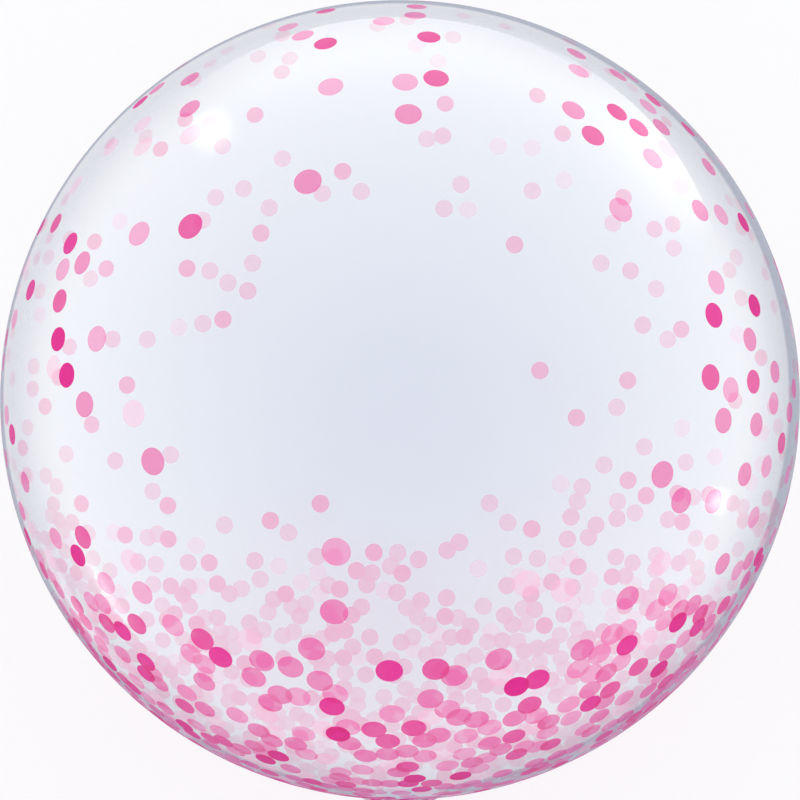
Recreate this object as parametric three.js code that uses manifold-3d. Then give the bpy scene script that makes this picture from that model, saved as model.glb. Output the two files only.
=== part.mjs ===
// A clear bubble balloon, blown up and lying on its side: one seamless film with its gathered
// neck and its flat filling tail. It is sealed, so it is one solid. Millimetres, +Z up.
// The origin is the middle of the flat spot that it rests on, and the neck points along -Y.
import * as THREE from "three";
import { mergeVertices } from "three/addons/utils/BufferGeometryUtils.js";
import Module from "manifold-3d";

// The ball
const ballDiameter = 610; // a 24 inch bubble
const restSpotRadius = 40; // the film is flat here, so that the ball doesn't roll
const segmentsAround = 64; // around the neck's axis
const ballRows = 32; // from the crown to where the gathers start

// The neck, where the film is drawn together into pleats
const gatherRadius = 64; // the pleats start this far from the neck's axis
const gatherRise = 27; // how far they draw the film out past the round of the ball
const gatherPower = 2.3; // how late the film turns outwards
const gatherRows = 9;
const throatRadius = 10.5; // the narrowest place
const throatLength = 9;
const throatRows = 2;
const pleatCount = 16;
const pleatDepth = 1.1; // from the mean surface to a ridge, at the throat

// The tail, the same tube of film pressed flat
const tailHalfWidth = (throatRadius * Math.PI) / 2; // a round tube's film laid flat
const tailThickness = 1.6;
const flatteningLength = 34; // from the round throat to the flat tail
const flatteningRows = 8;
const tailLength = 62; // of the flat stretch
const tailRows = 2;
const tailFall = 0.16; // the flat stretch slopes down by this much of its length

const ballRadius = ballDiameter / 2;
const restHeight = Math.sqrt(ballRadius ** 2 - restSpotRadius ** 2); // of the ball's centre
const neckSideY = (radius) => -Math.sqrt(ballRadius ** 2 - radius ** 2); // on the round ball
const throatStartY = neckSideY(throatRadius) - gatherRise;
const throatEndY = throatStartY - throatLength;
const tailStartY = throatEndY - flatteningLength;
const tailEndY = tailStartY - tailLength;

// How far along a stretch that runs from one value to another, from 0 to 1.
const along = (value, from, to) => THREE.MathUtils.clamp((value - from) / (to - from), 0, 1);
const ease = (share) => share * share * (3 - 2 * share);

// The film's half outline, as distances from the neck's axis and places along it, from the
// crown to the end of the tail.
function filmOutline() {
  const outline = [new THREE.Vector2(0, ballRadius)];
  const lastAngle = Math.PI - Math.asin(gatherRadius / ballRadius);
  for (let row = 1; row <= ballRows; row++) {
    const angle = (lastAngle * row) / ballRows;
    outline.push(new THREE.Vector2(ballRadius * Math.sin(angle), ballRadius * Math.cos(angle)));
  }
  for (let row = 1; row <= gatherRows; row++) {
    const share = row / gatherRows;
    const radius = THREE.MathUtils.lerp(gatherRadius, throatRadius, share);
    outline.push(new THREE.Vector2(radius, neckSideY(radius) - gatherRise * share ** gatherPower));
  }
  for (let row = 1; row <= throatRows; row++) {
    outline.push(new THREE.Vector2(throatRadius, throatStartY - (throatLength * row) / throatRows));
  }
  for (let row = 1; row <= flatteningRows; row++) {
    const share = row / flatteningRows;
    const halfWidth = THREE.MathUtils.lerp(throatRadius, tailHalfWidth, ease(share));
    outline.push(new THREE.Vector2(halfWidth, throatEndY - flatteningLength * share));
  }
  for (let row = 1; row <= tailRows; row++) {
    outline.push(new THREE.Vector2(tailHalfWidth, tailStartY - (tailLength * row) / tailRows));
  }
  outline.push(new THREE.Vector2(0, tailEndY));
  return outline;
}

// How deep the pleats are at a place on the film: they grow towards the throat, and the
// flattened tube presses them out.
function pleatDepthAt(radius, y) {
  if (y > neckSideY(gatherRadius)) {
    return 0;
  }
  const grown = ease(along(radius, gatherRadius, throatRadius));
  const left = 1 - along(y, throatEndY, tailStartY);
  return y > throatStartY ? pleatDepth * grown : pleatDepth * left;
}

// How far the tube sinks under its own weight: in a curve as it flattens, then straight.
function fallAt(y) {
  const curved = along(y, throatEndY, tailStartY) ** 2 * flatteningLength * 0.5;
  const straight = Math.max(tailStartY - y, 0);
  return tailFall * (curved + straight);
}

// Pleats the neck, presses the tube flat between two planes and lets it sink.
function shapeNeck(geometry) {
  const places = geometry.getAttribute("position");
  const point = new THREE.Vector3();
  for (let i = 0; i < places.count; i++) {
    point.fromBufferAttribute(places, i);
    const radius = Math.hypot(point.x, point.z);
    if (radius > 0) {
      const ripple = Math.cos(pleatCount * Math.atan2(point.z, point.x));
      const stretch = 1 + (pleatDepthAt(radius, point.y) * ripple) / radius;
      point.x *= stretch;
      point.z *= stretch;
    }
    if (point.y < throatEndY) {
      const flattened = along(point.y, throatEndY, tailStartY);
      const half = THREE.MathUtils.lerp(throatRadius + pleatDepth, tailThickness / 2, flattened);
      point.z = THREE.MathUtils.clamp(point.z, -half, half);
    }
    point.z -= fallAt(point.y);
    places.setXYZ(i, point.x, point.y, point.z);
  }
}

// A closed three.js geometry as a solid that can be cut.
function solidOf(wasm, geometry) {
  geometry.deleteAttribute("normal");
  geometry.deleteAttribute("uv");
  const merged = mergeVertices(geometry);
  const vertProperties = merged.getAttribute("position").array;
  const triVerts = new Uint32Array(merged.index.array);
  return new wasm.Manifold(new wasm.Mesh({ numProp: 3, vertProperties, triVerts }));
}

// A solid as a three.js geometry.
function geometryOf(solid) {
  const mesh = solid.getMesh();
  const geometry = new THREE.BufferGeometry();
  geometry.setAttribute("position", new THREE.BufferAttribute(mesh.vertProperties, 3));
  geometry.setIndex(new THREE.BufferAttribute(mesh.triVerts, 1));
  geometry.computeVertexNormals();
  return geometry;
}

// What is cut off under the ball to leave the flat spot.
function underTheFloor() {
  const side = restSpotRadius * 4;
  const box = new THREE.BoxGeometry(side, side, side);
  box.translate(0, 0, -restHeight - side / 2);
  return box;
}

const wasm = await Module();
wasm.setup();

const film = new THREE.LatheGeometry(filmOutline().reverse(), segmentsAround);
shapeNeck(film);
const balloonSolid = solidOf(wasm, film).subtract(solidOf(wasm, underTheFloor()));

const clearFilm = new THREE.MeshStandardMaterial({
  color: new THREE.Color(0.86, 0.89, 0.95),
  roughness: 0.08,
  metalness: 0,
  transparent: true,
  opacity: 0.25,
});

const balloon = new THREE.Mesh(geometryOf(balloonSolid), clearFilm);
balloon.name = "bubble";
balloon.position.z = restHeight;

const part = new THREE.Group();
part.add(balloon);

export default part;
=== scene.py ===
import math
import random

import bpy
import numpy as np
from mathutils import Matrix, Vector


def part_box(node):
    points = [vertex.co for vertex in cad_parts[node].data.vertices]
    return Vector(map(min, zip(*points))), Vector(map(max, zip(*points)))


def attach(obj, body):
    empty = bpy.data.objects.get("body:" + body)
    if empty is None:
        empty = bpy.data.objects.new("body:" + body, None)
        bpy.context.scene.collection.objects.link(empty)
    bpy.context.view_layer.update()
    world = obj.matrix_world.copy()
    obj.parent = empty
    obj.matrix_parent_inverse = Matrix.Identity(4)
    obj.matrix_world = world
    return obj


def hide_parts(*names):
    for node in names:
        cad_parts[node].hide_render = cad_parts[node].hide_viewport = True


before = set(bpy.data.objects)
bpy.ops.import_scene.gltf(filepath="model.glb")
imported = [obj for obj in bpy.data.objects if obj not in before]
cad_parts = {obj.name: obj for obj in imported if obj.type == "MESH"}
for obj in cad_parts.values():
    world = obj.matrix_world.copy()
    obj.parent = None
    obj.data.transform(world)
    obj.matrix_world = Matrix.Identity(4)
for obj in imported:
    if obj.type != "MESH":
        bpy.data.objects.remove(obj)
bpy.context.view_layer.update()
cadLow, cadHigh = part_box("bubble")
tiny = 1e-6  # a length or an angle that counts as nothing
leastShare = 0.0001  # keeps a share of nothing from being divided by nothing
print("frame loaded")

# The ball lies on a small flat spot, with its neck along -Y. Metres and radians.
ball = {
    "radius": cadHigh.y,  # the crown is the farthest point along +Y
    "restSpot": 0.040,  # radius of the flat spot
    "restBlend": 0.0009,  # height over which the film curves into the flat spot
    "restReach": 10,  # how many of those heights up the curve is felt
    "columns": 240,  # around the neck's axis
    "rings": 120,
}
ballRadius = ball["radius"]
centreHeight = math.sqrt(ballRadius**2 - ball["restSpot"] ** 2)

neck = {
    "firstRing": 8,  # the ring of the ball where the film starts to gather
    "rise": 0.027,  # how far the gathers draw the film out
    "power": 2.3,
    "rows": 22,
    "throat": 0.0105,  # radius of the narrowest place
    "throatLength": 0.009,
    "throatRows": 4,
    "pleatReach": 1.15,  # the pleats start this far from the axis, in radii of the first ring
    "pleatDepth": 0.0012,
    "creaseReach": 0.125,  # fine creases start this far from the axis
    "creaseFull": 0.6,  # and are at their deepest here, in radii of the first ring
    "creaseDepth": 0.00022,
}

# The waves that make up the pleats and the fine creases: how many go round the neck, how deep
# they are beside the others, how far they are turned and how far they wander.
pleatWaves = ((16, 1, 0, 0), (23, 0.35, 1.1, 0), (37, 0.25, 2.0, 0))
creaseWaves = ((46, 1, 0, 2), (31, 0.6, 0.7, 0))

tail = {
    "flattening": 0.034,  # length over which the round throat is pressed flat
    "flatteningRows": 16,
    "length": 0.062,
    "rows": 26,
    "fall": 0.16,
    "seal": 0.0024,  # width of the welded edges
    "sealThickness": 0.0004,
    "pillow": 0.0015,  # thickness between the welded edges
    "wave": 0.00042,  # the strip isn't quite flat
    "waveAlong": 95,  # radians of the wave per metre along the strip
    "waveAcross": 120,  # and across it
}

# How unevenly the lower half's film is stretched: at 0 it is the same all over, as on the upper
# half, and at 1 it is the most uneven.
tension = {"lowerHalf": 0.55}


def along(value, start, end):
    return np.clip((value - start) / (end - start), 0, 1)


def ease(share):
    return share * share * (3 - 2 * share)


def neckSideY(radius):
    return -math.sqrt(ballRadius**2 - radius**2)


gatherAngle = math.pi * neck["firstRing"] / ball["rings"]
gatherRadius = ballRadius * math.sin(gatherAngle)
tailHalfWidth = neck["throat"] * math.pi / 2
throatStartY = neckSideY(neck["throat"]) - neck["rise"]
throatEndY = throatStartY - neck["throatLength"]
tailStartY = throatEndY - tail["flattening"]
tailEndY = tailStartY - tail["length"]


# The rows from the ball to the end of the tail, as distances from the neck's axis and places
# along it.
def neckRows():
    rows = []
    for row in range(1, neck["rows"] + 1):
        share = row / neck["rows"]
        radius = gatherRadius + (neck["throat"] - gatherRadius) * share
        rows.append((radius, neckSideY(radius) - neck["rise"] * share ** neck["power"]))
    for row in range(1, neck["throatRows"] + 1):
        y = throatStartY - neck["throatLength"] * row / neck["throatRows"]
        rows.append((neck["throat"], y))
    for row in range(1, tail["flatteningRows"] + 1):
        share = row / tail["flatteningRows"]
        radius = neck["throat"] + (tailHalfWidth - neck["throat"]) * ease(share)
        rows.append((radius, throatEndY - tail["flattening"] * share))
    for row in range(1, tail["rows"] + 1):
        rows.append((tailHalfWidth, tailStartY - tail["length"] * row / tail["rows"]))
    return rows


def places(mesh):
    flat = np.zeros(len(mesh.vertices) * 3)
    mesh.vertices.foreach_get("co", flat)
    return flat.reshape(-1, 3)


def selectBeyond(piece, y):
    bpy.ops.object.mode_set(mode="OBJECT")
    piece.data.polygons.foreach_set("select", np.zeros(len(piece.data.polygons), bool))
    piece.data.edges.foreach_set("select", np.zeros(len(piece.data.edges), bool))
    piece.data.vertices.foreach_set("select", places(piece.data)[:, 1] < y)
    bpy.ops.object.mode_set(mode="EDIT")


# The ball as it is blown: a round sphere with its poles at the crown and the neck.
def blowBall():
    bpy.ops.object.select_all(action="DESELECT")
    bpy.ops.mesh.primitive_uv_sphere_add(
        segments=ball["columns"],
        ring_count=ball["rings"],
        radius=ballRadius,
        location=(0, 0, centreHeight),
        rotation=(math.radians(90), 0, 0),
    )
    piece = bpy.context.object
    piece.name = "bubble_film"
    bpy.ops.object.transform_apply(location=True, rotation=True, scale=True)
    return piece


# The pole is opened, and its rim is drawn out row by row into the neck and the tail.
def drawNeck(piece):
    bpy.ops.object.mode_set(mode="EDIT")
    bpy.ops.mesh.select_mode(type="VERT")
    rimY = -ballRadius * math.cos(gatherAngle)
    halfRing = ballRadius * math.pi / ball["rings"] * math.sin(gatherAngle) / 2
    selectBeyond(piece, rimY - halfRing)
    bpy.ops.mesh.delete(type="VERT")
    selectBeyond(piece, rimY + halfRing)
    lastRadius, lastY = gatherRadius, rimY
    for radius, y in neckRows():
        bpy.ops.mesh.extrude_region_move(TRANSFORM_OT_translate={"value": (0, y - lastY, 0)})
        shrink = radius / lastRadius
        bpy.ops.transform.resize(value=(shrink, 1, shrink), center_override=(0, y, centreHeight))
        lastRadius, lastY = radius, y
    bpy.ops.mesh.edge_face_add()
    bpy.ops.mesh.select_all(action="SELECT")
    bpy.ops.mesh.normals_make_consistent(inside=False)
    bpy.ops.object.mode_set(mode="OBJECT")


# How far from the middle of its half's flat print a point lies, for its angle from the middle of
# the upper or the lower half of the ball. The lower half is stretched more towards its edge.
def printReach(angle, above):
    more = tension["lowerHalf"]
    return np.where(above, angle, np.sin(more * angle) / more)


# Where each corner of each face lies on its half's flat print, across and up. The halves meet
# along the ball's sides. The film is drawn out at the neck without growing wider, so there a
# point keeps its distance from the neck's axis.
def layOut(piece):
    points = places(piece.data)
    points[:, 2] -= centreHeight
    reach = np.hypot(points[:, 0], points[:, 2])
    onNeck = points[:, 1] < -ballRadius * math.cos(gatherAngle) - tiny
    polar = np.arctan2(reach, -points[:, 1])
    polar = np.where(onNeck, np.arcsin(np.minimum(reach, gatherRadius) / ballRadius), polar)
    polar = np.where(points[:, 1] < throatStartY, neck["throat"] / ballRadius, polar)
    turn = np.arctan2(points[:, 2], points[:, 0])
    across, up = np.sin(polar) * np.cos(turn), -np.cos(polar)
    ring = np.maximum(np.hypot(across, up), tiny)
    angle = np.arctan2(ring, np.abs(np.sin(polar) * np.sin(turn)))
    faces = piece.data.polygons
    above = np.array([face.center.z for face in faces]) > centreHeight
    cornerAbove = np.repeat(above, [face.loop_total for face in faces])
    owners = np.zeros(len(piece.data.loops), int)
    piece.data.loops.foreach_get("vertex_index", owners)
    stretch = printReach(angle[owners], cornerAbove) / ring[owners]
    laid = np.stack([across[owners] * stretch, up[owners] * stretch, np.zeros(len(owners))], 1)
    attribute = piece.data.attributes.new("printPlace", "FLOAT_VECTOR", "CORNER")
    attribute.data.foreach_set("vector", laid.ravel())
    return laid[:, :2], above


def addWaves(waves, turn):
    wander = np.sin(5 * turn)
    return sum(
        depth * np.cos(count * turn + turned + wanders * wander)
        for count, depth, turned, wanders in waves
    )


def pleatNeck(points):
    reach = np.hypot(points[:, 0], points[:, 2])
    turn = np.arctan2(points[:, 2], points[:, 0])
    onNeckSide = points[:, 1] < 0
    beyond = points[:, 1] < throatStartY
    left = 1 - along(points[:, 1], throatEndY, tailStartY)  # not yet pressed out
    grown = ease(along(reach, gatherRadius * neck["pleatReach"], neck["throat"]))
    pleats = neck["pleatDepth"] * np.where(beyond, left, grown) * onNeckSide
    grown = ease(along(reach, neck["creaseReach"], gatherRadius * neck["creaseFull"]))
    creases = neck["creaseDepth"] * grown * onNeckSide * np.where(beyond, left, 1)
    lift = pleats * addWaves(pleatWaves, turn) + creases * addWaves(creaseWaves, turn)
    stretch = 1 + lift / np.maximum(reach, neck["throat"])
    points[:, 0] *= stretch
    points[:, 2] *= stretch


# The tube is pressed flat between welded edges, and the strip sinks and waves a little.
def pressTail(points):
    y = points[:, 1]
    onTail = y < throatEndY
    pressed = along(y, throatEndY, tailStartY)
    share = np.clip(np.abs(points[:, 0]) / tailHalfWidth, 0, 1)
    weld = 1 - tail["seal"] / tailHalfWidth
    bulge = np.sqrt(np.clip(1 - (share / weld) ** 2, 0, 1))
    half = (tail["sealThickness"] + (tail["pillow"] - tail["sealThickness"]) * bulge) / 2
    roundHalf = neck["throat"] + neck["pleatDepth"]
    limit = roundHalf + (half - roundHalf) * pressed
    flat = np.clip(points[:, 2], -limit, limit)
    curved = pressed**2 * tail["flattening"] / 2
    lowered = (curved + np.clip(tailStartY - y, 0, None)) * tail["fall"]
    across = 0.5 + 0.5 * np.cos(points[:, 0] * tail["waveAcross"])
    wave = tail["wave"] * pressed * np.sin(y * tail["waveAlong"] + 1) * across
    points[:, 2] = np.where(onTail, flat - lowered + wave, points[:, 2])


# The film settles on the floor in a small flat spot with a soft edge.
def settle(points):
    height = points[:, 2] / ball["restBlend"]
    low = height < ball["restReach"]
    lifted = np.log1p(np.exp(np.minimum(height, ball["restReach"])))
    points[:, 2] = np.where(low, lifted * ball["restBlend"], points[:, 2])


def shapeFilm(piece):
    points = places(piece.data)
    points[:, 2] -= centreHeight
    pleatNeck(points)
    pressTail(points)
    points[:, 2] += centreHeight
    settle(points)
    piece.data.vertices.foreach_set("co", points.ravel())
    piece.data.update()
    bpy.ops.object.select_all(action="DESELECT")
    piece.select_set(True)
    bpy.context.view_layer.objects.active = piece
    bpy.ops.object.shade_smooth()


film = blowBall()
drawNeck(film)
laidOut, upperFaces = layOut(film)
shapeFilm(film)
print("film made:", len(film.data.vertices), "points")

# The confetti is printed flat on the two halves of the film, the upper and the lower, which then
# stretch into the ball. On the flat print every dot is round. Angles on the ball, in radians.
confetti = {
    "seed": 21,
    "dotRadius": 0.0293,
    "slots": 5,  # how many dots a face of the film can carry
    "slotReach": 1.03,  # a face this near a dot's middle carries it, in dot radii
    "sideAmount": 0.155,  # share of the film that the dots cover round the clear middle
    "crownLess": 0.42,  # how much less they cover towards the crown
    "clearTo": 0.38,  # the middle is clear to this angle
    "fullFrom": 0.80,  # and the print round it is at its full from here
    "neckAmount": 3.6,  # how much more they cover towards the neck
    "neckFrom": 0.26,  # from here
    "neckTo": 1.9,  # to here
    "spread": 0.12,  # how much higher this starts at the sides
    "sparseGap": 2.0,  # least distance between dots, in dot radii
    "denseGap": 1.2,  # the same where they cover much
    "denseFrom": 0.5,  # which is this share of the film or more
    "bareNeck": 0.066,  # no dots this close to the neck's pole
    "nowhere": 9.0,  # where a slot without a dot has it, far off the print
}

# Each ink's colour, how much of the print it makes, and how far it covers what is behind it
inks = [
    ("magenta", (0.713, 0.000, 0.241), 0.04, 0.985),
    ("strongPink", (0.755, 0.002, 0.271), 0.065, 0.94),
    ("midPink", (0.767, 0.015, 0.277), 0.12, 0.86),
    ("lightPink", (0.807, 0.010, 0.316), 0.30, 0.65),
    ("palePink", (0.886, 0.024, 0.366), 0.33, 0.50),
    ("blush", (0.990, 0.475, 0.660), 0.13, 0.40),
]


# Where an ink, by its number, stands on the scale of inks from 0 to 1. No ink comes last.
def inkPlace(number):
    return number / (len(inks) + 1)


# What share of the film the dots are to cover at a place on the flat print. It counts dots that
# lie on others more than once.
def dotAmount(across, up):
    outwards = math.hypot(across, up)
    outside = float(along(outwards, confetti["clearTo"], confetti["fullFrom"]))
    side = confetti["sideAmount"] * ease(outside) * (1 - confetti["crownLess"] * up)
    down = confetti["spread"] * abs(across) - up
    nearNeck = float(along(down, confetti["neckFrom"], confetti["neckTo"]))
    return side + confetti["neckAmount"] * ease(nearNeck)


# The dots on one half's flat print, out to its edge: across, up and which ink.
def scatterDots(draw, edge):
    most = dotAmount(0, -edge)
    dotArea = math.pi * confetti["dotRadius"] ** 2
    side = edge + confetti["dotRadius"]
    tries = round(most * (2 * side) ** 2 / dotArea)
    shares = [ink[2] for ink in inks]
    dots = []
    for _ in range(tries):
        across = draw.uniform(-side, side)
        up = draw.uniform(-side, side)
        chance = draw.random()
        ink = draw.choices(range(len(inks)), shares)[0]
        if math.hypot(across, up) > side:
            continue
        amount = dotAmount(across, up)
        if chance > amount / most:
            continue
        if math.hypot(across, up + edge) < confetti["bareNeck"]:
            continue
        crowding = min(amount / confetti["denseFrom"], 1)
        gap = confetti["sparseGap"] + (confetti["denseGap"] - confetti["sparseGap"]) * crowding
        gap *= confetti["dotRadius"]
        if any(math.hypot(across - dot[0], up - dot[1]) < gap for dot in dots):
            continue
        dots.append((across, up, ink))
    return dots


def crossing(dot, edge):
    return math.hypot(dot[0], dot[1]) > edge - confetti["dotRadius"]


# The rest of a dot that crosses the edge of the upper half, as it goes on into the lower half.
# It is as wide along the edge there, though that half's film is stretched less along it.
def carryOver(dot, upperEdge, lowerEdge):
    outwards = math.hypot(dot[0], dot[1])
    inset = upperEdge - outwards
    halfWidth = math.sqrt(confetti["dotRadius"] ** 2 - inset**2) * lowerEdge / upperEdge
    beyond = math.copysign(math.sqrt(confetti["dotRadius"] ** 2 - halfWidth**2), inset)
    scale = (lowerEdge + beyond) / outwards
    return dot[0] * scale, dot[1] * scale, dot[2]


# Which of some faces a dot reaches over, all on the flat print.
def reached(spot, corners):
    sides = np.roll(corners, -1, 1) - corners
    away = spot - corners
    turns = sides[..., 0] * away[..., 1] - sides[..., 1] * away[..., 0]
    shares = (away * sides).sum(2) / np.maximum((sides**2).sum(2), tiny**2)
    gaps = np.linalg.norm(away - sides * np.clip(shares, 0, 1)[..., None], axis=2)
    nearby = gaps.min(1) < confetti["dotRadius"] * confetti["slotReach"]
    return nearby | (turns >= 0).all(1) | (turns <= 0).all(1)


# Each face of the film carries the dots that reach it, one in each of its slots.
def printDots(piece, laid, above):
    draw = random.Random(confetti["seed"])
    starts = np.array([face.loop_start for face in piece.data.polygons])
    sizes = np.array([face.loop_total for face in piece.data.polygons])
    corners = laid[starts[:, None] + np.minimum(np.arange(4), sizes[:, None] - 1)]
    middles = corners.mean(1)
    reach = np.linalg.norm(corners - middles[:, None], axis=2).max(1)
    reach += confetti["dotRadius"] * confetti["slotReach"]
    slots = np.full((confetti["slots"], len(starts), 4), confetti["nowhere"])
    filled = np.zeros(len(starts), int)
    left = 0
    upperEdge, lowerEdge = math.pi / 2, float(printReach(math.pi / 2, False))
    upperDots = scatterDots(draw, upperEdge)
    lowerDots = [dot for dot in scatterDots(draw, lowerEdge) if not crossing(dot, lowerEdge)]
    overEdge = [dot for dot in upperDots if crossing(dot, upperEdge)]
    lowerDots += [carryOver(dot, upperEdge, lowerEdge) for dot in overEdge]
    for half, dots in ((above, upperDots), (~above, lowerDots)):
        for across, up, ink in dots:
            spot = np.array((across, up))
            near = np.nonzero(half & (np.linalg.norm(middles - spot, axis=1) < reach))[0]
            near = near[reached(spot, corners[near])]
            left += int((filled[near] >= confetti["slots"]).sum())
            near = near[filled[near] < confetti["slots"]]
            slots[filled[near], near] = (across, up, 0, inkPlace(ink + 0.5))
            filled[near] += 1
    for slot in range(confetti["slots"]):
        attribute = piece.data.attributes.new(f"dot{slot + 1}", "FLOAT_COLOR", "FACE")
        attribute.data.foreach_set("color", slots[slot].ravel())
    print("dots printed, most on a face:", filled.max(), "without a slot:", left)


printDots(film, laidOut, upperFaces)


# A number that changes over a surface: arithmetic on it adds Math nodes.
class Amount:
    def __init__(self, bench, socket):
        self.bench = bench
        self.socket = socket

    def maths(self, operation, *values):
        sockets = dict(enumerate((self, *values)))
        return self.bench.amount("ShaderNodeMath", {"operation": operation}, sockets)

    def __add__(self, other):
        return self.maths("ADD", other)

    def __mul__(self, other):
        return self.maths("MULTIPLY", other)

    def __truediv__(self, other):
        return self.maths("DIVIDE", other)

    def __pow__(self, other):
        return self.maths("POWER", other)

    def __rsub__(self, other):
        return self.maths("MULTIPLY_ADD", -1, other)

    __radd__ = __add__
    __rmul__ = __mul__

    # 0 at one value and 1 at the other, and straight or smooth between them
    def between(self, start, end, smooth=False):
        settings = {"interpolation_type": "SMOOTHSTEP" if smooth else "LINEAR"}
        sockets = {"Value": self, "From Min": start, "From Max": end}
        return self.bench.amount("ShaderNodeMapRange", settings, sockets)


# The bench on which the nodes of one material, lamp or sky are laid out.
class Bench:
    def __init__(self, owner):
        owner.use_nodes = True
        self.tree = owner.node_tree
        self.tree.nodes.clear()

    def add(self, kind, settings, sockets):
        node = self.tree.nodes.new(kind)
        for name, value in settings.items():
            if name == "stops":
                self.setStops(node.color_ramp, value)
            else:
                setattr(node, name, value)
        for name, value in sockets.items():
            self.feed(node.inputs[name], value)
        return node

    def setStops(self, ramp, stops):
        ramp.interpolation = "CONSTANT"
        while len(ramp.elements) < len(stops):
            ramp.elements.new(1)
        for element, (place, colour) in zip(ramp.elements, stops):
            element.position = place
            element.color = colour

    def feed(self, socket, value):
        if isinstance(value, Amount):
            self.tree.links.new(value.socket, socket)
        elif isinstance(value, bpy.types.NodeSocket):
            self.tree.links.new(value, socket)
        else:
            socket.default_value = value

    def amount(self, kind, settings, sockets, output=0):
        return Amount(self, self.add(kind, settings, sockets).outputs[output])

    def mixColour(self, share, first, second, blend="MIX"):
        settings = {"data_type": "RGBA", "blend_type": blend}
        return self.add("ShaderNodeMix", settings, {0: share, 6: first, 7: second}).outputs[2]

    def mixShader(self, share, first, second):
        sockets = {0: share, 1: first, 2: second}
        return self.add("ShaderNodeMixShader", {}, sockets).outputs[0]


filmLook = {
    "tint": (0.884, 0.916, 0.958, 1),  # what one layer of the film lets through
    "rimShadeTint": (0.56, 0.59, 0.67, 1),  # what it lets through where it is seen along its edge, darkened there as a painted shade
    "neckShadeReach": (-0.42, -0.98),  # towards the neck the film and its print are painted this much duller, as painted shade
    "neckShade": (0.93, 0.92, 0.945, 1),
    "shadedSide": -45,  # which way from the middle the painted rim shade is heaviest, from +X in degrees
    "edgeShade": (0.47, 0.83),  # the painted rim shade grows softly from one slant to the other
    "shadeShare": 0.70,  # by this share
    "shadeMore": 0.15,  # and by this much more on the shaded side
    "edgeBand": 0.738,  # the rim's band of painted shade starts at this slant on the shaded side
    "bandNarrows": 0.075,  # and this much later half-way to the less shaded side
    "bandSoftness": 0.028,
    "haze": 0.02,  # a faint milkiness, which grows as the film is seen aslant
    "hazeAslant": 0.31,
    "hazeInBand": 0.35,  # how much of it is left in the rim's band
    "rimShadeOnSurface": (0.78, 0.80, 0.86, 1),  # the print and the haze are painted this much darker there, as painted shade
    "hazeColour": (0.99, 0.96, 0.87, 1),
    "gloss": 0.025,  # the share that mirrors face on
    "glossAslant": 0.10,  # and how much more does along its edge
    "glossPower": 3,  # how late that grows
    "glossRoughness": 0.03,
    "printRoughness": 0.6,
    "insidePrint": 0.68,  # how much of the ink's cover is left when it is seen through the film
    "insideInk": (0.86, 0.24, 0.45, 1),  # from inside the ink is painted lighter, never deeper than this, as painted light from the floor behind
    "glow": (0.14, 0.14, 0.14, 1),  # painted light: a glow for the light that shines through the ink
    "insideGlow": (0.28, 0.28, 0.28, 1),  # and more painted glow from inside, for the bright floor behind it
    "hazeGlow": (0.31, 0.31, 0.31, 1),  # the same painted glow for the haze, which is thinner
    "insideHazeGlow": (0.45, 0.45, 0.45, 1),
    "overlapTint": (0.94, 0.50, 0.72, 1),  # where dots overlap they are this much deeper
    "overlapCover": 0.5,  # and cover this much of what is left uncovered
    "overlapFull": 2.5,  # the number of dots for the whole of both
}


# The print's colour and how far it covers the film. Where dots overlap the deepest ink shows,
# and is deeper still.
def mixInks(bench, place, backfacing):
    deepest, missing = 1, 0
    for slot in range(1, confetti["slots"] + 1):
        dot = bench.add("ShaderNodeAttribute", {"attribute_name": f"dot{slot}"}, {})
        sockets = {0: place, 1: dot.outputs["Color"]}
        distance = bench.amount("ShaderNodeVectorMath", {"operation": "DISTANCE"}, sockets, "Value")
        outside = distance.maths("GREATER_THAN", confetti["dotRadius"])
        deepest = (outside + Amount(bench, dot.outputs["Alpha"])).maths("MINIMUM", deepest)
        missing = outside + missing
    inkStops = [(inkPlace(number), (*ink[1], ink[3])) for number, ink in enumerate(inks)]
    inkStops.append((inkPlace(len(inks)), (1, 1, 1, 0)))
    ink = bench.add("ShaderNodeValToRGB", {"stops": inkStops}, {"Fac": deepest})
    overlap = missing.between(confetti["slots"] - 1, confetti["slots"] - filmLook["overlapFull"])
    colour = bench.mixColour(overlap, ink.outputs["Color"], filmLook["overlapTint"], "MULTIPLY")
    # painted light: seen from inside, the ink is lighter, as if lit through from behind
    colour = bench.mixColour(backfacing, colour, filmLook["insideInk"], "LIGHTEN")
    inked = Amount(bench, ink.outputs["Alpha"])
    inked = inked + overlap * filmLook["overlapCover"] * (1 - inked)
    return colour, inked * (1 - backfacing * (1 - filmLook["insidePrint"]))


# How far the film is in the painted shade of its rim, and how milky it is. Face on it is clear,
# aslant it is milkier, and along its edge it is painted darker, most on the shaded side.
def shadeRim(bench, edgeOn):
    spot = bench.add("ShaderNodeTexCoord", {}, {}).outputs["Object"]
    side = math.radians(filmLook["shadedSide"])
    sockets = {0: spot, 1: (math.cos(side) / ballRadius, math.sin(side) / ballRadius, 0)}
    towardsShadedSide = bench.amount("ShaderNodeVectorMath", {"operation": "DOT_PRODUCT"}, sockets, "Value")
    # the band of painted shade starts earlier towards the shaded side
    bandStart = filmLook["edgeBand"] + filmLook["bandNarrows"] * (1 - towardsShadedSide)
    band = edgeOn.between(bandStart, bandStart + filmLook["bandSoftness"])
    shadeShare = filmLook["shadeShare"] + filmLook["shadeMore"] * towardsShadedSide
    shade = edgeOn.between(*filmLook["edgeShade"], smooth=True) * shadeShare
    haze = filmLook["haze"] + filmLook["hazeAslant"] * edgeOn
    haze = haze * (1 - band * (1 - filmLook["hazeInBand"]))
    return 1 - (1 - shade) * (1 - band), haze


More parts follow.
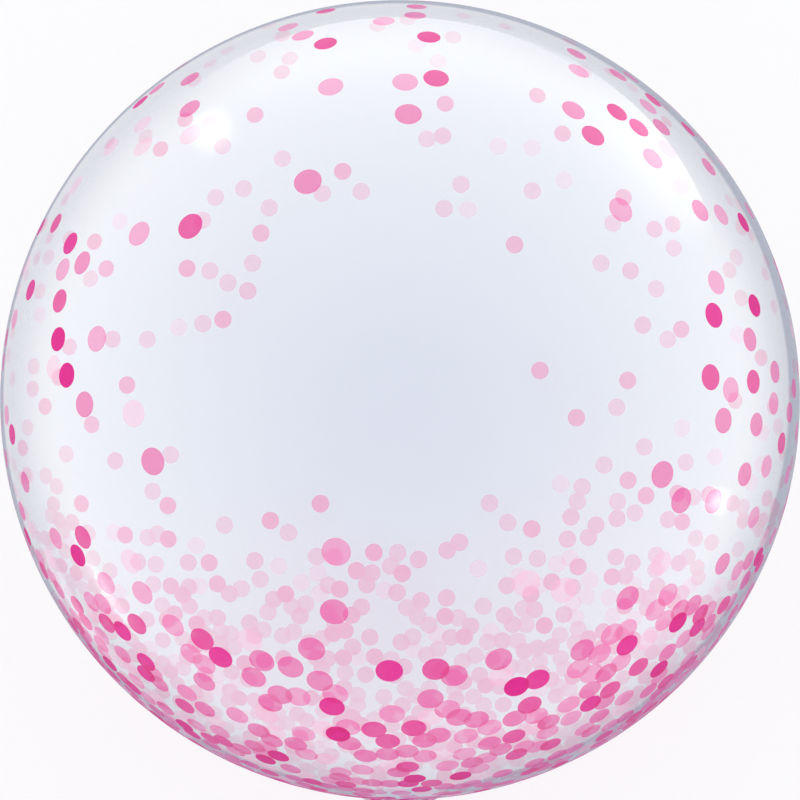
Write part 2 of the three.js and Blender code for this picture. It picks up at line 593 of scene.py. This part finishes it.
def makeFilmMaterial():
    material = bpy.data.materials.new("clear_printed_film")
    bench = Bench(material)
    place = bench.add("ShaderNodeAttribute", {"attribute_name": "printPlace"}, {}).outputs["Vector"]
    backfacing = bench.amount("ShaderNodeNewGeometry", {}, {}, "Backfacing")
    edgeOn = bench.amount("ShaderNodeLayerWeight", {}, {"Blend": 0.5}, "Facing")
    inkColour, cover = mixInks(bench, place, backfacing)
    edge, haze = shadeRim(bench, edgeOn)

    # The ink and the haze are one surface that covers a share of what is behind it
    solidShare = 1 - (1 - cover) * (1 - haze)
    inkShare = cover / (solidShare + leastShare)
    surface = bench.mixColour(inkShare, filmLook["hazeColour"], inkColour)
    # painted shade: the print and the haze are darker along the rim
    surface = bench.mixColour(edge, surface, filmLook["rimShadeOnSurface"], "MULTIPLY")
    crownwards = bench.amount("ShaderNodeSeparateXYZ", {}, {0: place}, "Y")
    nearNeck = crownwards.between(*filmLook["neckShadeReach"], smooth=True)
    # painted shade: the print and the haze are darker towards the neck
    surface = bench.mixColour(nearNeck, surface, filmLook["neckShade"], "MULTIPLY")
    # The emission is painted light: a glow for what shines through the ink and the haze
    inkShine = bench.mixColour(backfacing, filmLook["glow"], filmLook["insideGlow"])
    hazeShine = bench.mixColour(backfacing, filmLook["hazeGlow"], filmLook["insideHazeGlow"])
    shine = bench.mixColour(inkShare, hazeShine, inkShine)
    sockets = {
        "Base Color": surface,
        "Roughness": filmLook["printRoughness"],
        "Specular IOR Level": 0.0,
        "Emission Color": bench.mixColour(1, surface, shine, "MULTIPLY"),
        "Emission Strength": 1,
    }
    solid = bench.add("ShaderNodeBsdfPrincipled", {}, sockets)

    # The rest is clear, and the whole has a gloss on its outer side
    # painted shade: the clear film is darker towards the neck too
    tint = bench.mixColour(nearNeck, filmLook["tint"], filmLook["neckShade"], "MULTIPLY")
    clear = bench.add("ShaderNodeBsdfTransparent", {}, {"Color": tint})
    # painted shade: along the rim the film lets less through
    clearEdge = bench.add("ShaderNodeBsdfTransparent", {}, {"Color": filmLook["rimShadeTint"]})
    seen = bench.mixShader(edge, clear.outputs[0], clearEdge.outputs[0])
    body = bench.mixShader(solidShare, seen, solid.outputs[0])
    sockets = {"Color": (1, 1, 1, 1), "Roughness": filmLook["glossRoughness"]}
    gloss = bench.add("ShaderNodeBsdfAnisotropic", {}, sockets)
    mirrored = filmLook["gloss"] + filmLook["glossAslant"] * edgeOn ** filmLook["glossPower"]
    whole = bench.mixShader(mirrored * (1 - backfacing), body, gloss.outputs[0])
    bench.add("ShaderNodeOutputMaterial", {}, {"Surface": whole})
    return material


film.data.materials.clear()
film.data.materials.append(makeFilmMaterial())
film.visible_shadow = False  # the softboxes light only the gloss, so it has no shadow to throw
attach(film, "root")
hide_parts("bubble")
print("film material made")

# A plain pale floor that glows a little, as a light table does, and a soft white studio
studio = {
    "floorSize": 40.0,
    "floorColour": (0.60, 0.60, 0.60, 1),
    "floorRoughness": 0.7,
    "floorGlow": 0.42,
    "skyBehind": (1.06, 1.06, 1.06, 1),  # beyond the crown
    "skyBefore": (0.88, 0.88, 0.90, 1),  # beyond the neck
    "skyTurns": (-0.8, 0.8),  # from the one to the other, along Y
    "skyAbove": (0.93, 0.94, 0.96, 1),
    "skyRises": (0.1, 0.75),  # from the sky round the ball to the one above, along Z
}

# Softboxes that stand round the ball and are seen only in its gloss. Each has its middle, the
# way it faces from +X in degrees, its width and height, its brightness, and how soft its sides
# and its lower and upper edges are. One is rolled a little, so that one end is higher. The last
# leans back until it lies on the floor, and lights up the rim.
softboxes = {
    "tallSoftbox": {
        "middle": (0.70, 0.67, 0.36),
        "faces": -96,
        "rolls": 3,
        "size": (1.10, 0.72),
        "bright": 3.6,
        "softness": (0.5, 0.01, 0.95),
    },
    "crownSoftbox": {
        "middle": (-0.02, 0.76, 0.36),
        "faces": -90,
        "size": (1.20, 0.72),
        "bright": 1.9,
        "softness": (0.4, 0.01, 0.9),
    },
    "leftSpot": {
        "middle": (-0.61, 0.87, 0.374),
        "faces": -55,
        "size": (0.20, 0.42),
        "bright": 6.5,
        "softness": (0.5, 0.5, 0.5),
    },
    "rightSpot": {
        "middle": (1.01, -0.32, 0.35),
        "faces": 162,
        "size": (0.11, 0.26),
        "bright": 11.0,
        "softness": (0.5, 0.5, 0.5),
    },
    "lowStrip": {
        "middle": (-0.89, -0.58, 0.195),
        "faces": 33,
        "size": (0.36, 0.14),
        "bright": 3.5,
        "softness": (0.5, 0.5, 0.5),
    },
    "rimStrip": {
        "middle": (-0.5898, -0.4130, 0.01),
        "faces": 35,
        "leans": 90,
        "size": (0.46, 0.22),
        "bright": 1.8,
        "softness": (0.45, 0.4, 0.4),
    },
}
powerPerBrightness = 4  # watts for each square metre of a softbox with a brightness of 1


def makeFloor():
    bpy.ops.object.select_all(action="DESELECT")
    bpy.ops.mesh.primitive_plane_add(size=studio["floorSize"], location=(0, 0, 0))
    floor = bpy.context.object
    floor.name = "floor"
    material = bpy.data.materials.new("pale_floor")
    bench = Bench(material)
    sockets = {
        "Base Color": studio["floorColour"],
        "Roughness": studio["floorRoughness"],
        "Specular IOR Level": 0.0,
        "Emission Color": (1, 1, 1, 1),
        "Emission Strength": studio["floorGlow"],
    }
    paint = bench.add("ShaderNodeBsdfPrincipled", {}, sockets)
    bench.add("ShaderNodeOutputMaterial", {}, {"Surface": paint.outputs[0]})
    floor.data.materials.append(material)


def makeSky():
    sky = bpy.data.worlds.new("white_studio")
    bpy.context.scene.world = sky
    bench = Bench(sky)
    way = bench.add("ShaderNodeTexCoord", {}, {}).outputs["Generated"]
    parts = bench.add("ShaderNodeSeparateXYZ", {}, {0: way})
    back, height = Amount(bench, parts.outputs[1]), Amount(bench, parts.outputs[2])
    back = back.between(*studio["skyTurns"], smooth=True)
    skyRound = bench.mixColour(back, studio["skyBefore"], studio["skyBehind"])
    height = height.between(*studio["skyRises"], smooth=True)
    glow = bench.mixColour(height, skyRound, studio["skyAbove"])
    background = bench.add("ShaderNodeBackground", {}, {"Color": glow})
    bench.add("ShaderNodeOutputWorld", {}, {"Surface": background.outputs[0]})
    sky.cycles.sampling_method = "NONE"  # it is too even to need its own light rays


def makeSoftbox(name, box):
    lamp = bpy.data.lights.new(name, "AREA")
    lamp.shape = "RECTANGLE"
    lamp.size, lamp.size_y = box["size"]
    lamp.energy = powerPerBrightness * lamp.size * lamp.size_y * box["bright"]
    bench = Bench(lamp)
    spot = bench.add("ShaderNodeNewGeometry", {}, {}).outputs["Parametric"]
    parts = bench.add("ShaderNodeSeparateXYZ", {}, {0: spot})
    across, up = Amount(bench, parts.outputs[0]), Amount(bench, parts.outputs[1])
    sides, lower, upper = box["softness"]
    shine = across.between(0, sides, smooth=True) * across.between(1, 1 - sides, smooth=True)
    shine = shine * up.between(0, lower, smooth=True) * up.between(1, 1 - upper, smooth=True)
    glow = bench.add("ShaderNodeEmission", {}, {"Strength": shine})
    bench.add("ShaderNodeOutputLight", {}, {"Surface": glow.outputs[0]})
    stand = bpy.data.objects.new(name, lamp)
    bpy.context.scene.collection.objects.link(stand)
    stand.location = box["middle"]
    turn = math.radians(box["faces"] - 90)
    leans, rolls = math.radians(90 + box.get("leans", 0)), math.radians(box.get("rolls", 0))
    stand.rotation_euler = (leans, rolls, turn)
    stand.visible_camera = False
    stand.visible_diffuse = False


def makeLights():
    makeSky()
    for name, box in softboxes.items():
        makeSoftbox(name, box)


# The camera looks straight down on the lying ball, from where its outline just fills the view
camera = {"distance": 3.66, "sensor": 36.0}


def makeCamera():
    far = camera["distance"]
    halfView = 1 / math.sqrt(far**2 - 1)
    lens = bpy.data.cameras.new("camera")
    lens.sensor_width = camera["sensor"]
    lens.lens = camera["sensor"] / 2 / halfView
    eye = bpy.data.objects.new("camera", lens)
    bpy.context.scene.collection.objects.link(eye)
    eye.location = (0, 0, centreHeight + far * ballRadius)
    bpy.context.scene.camera = eye


makeFloor()
makeLights()
makeCamera()
bpy.context.scene.view_settings.view_transform = "Standard"
print("studio set")
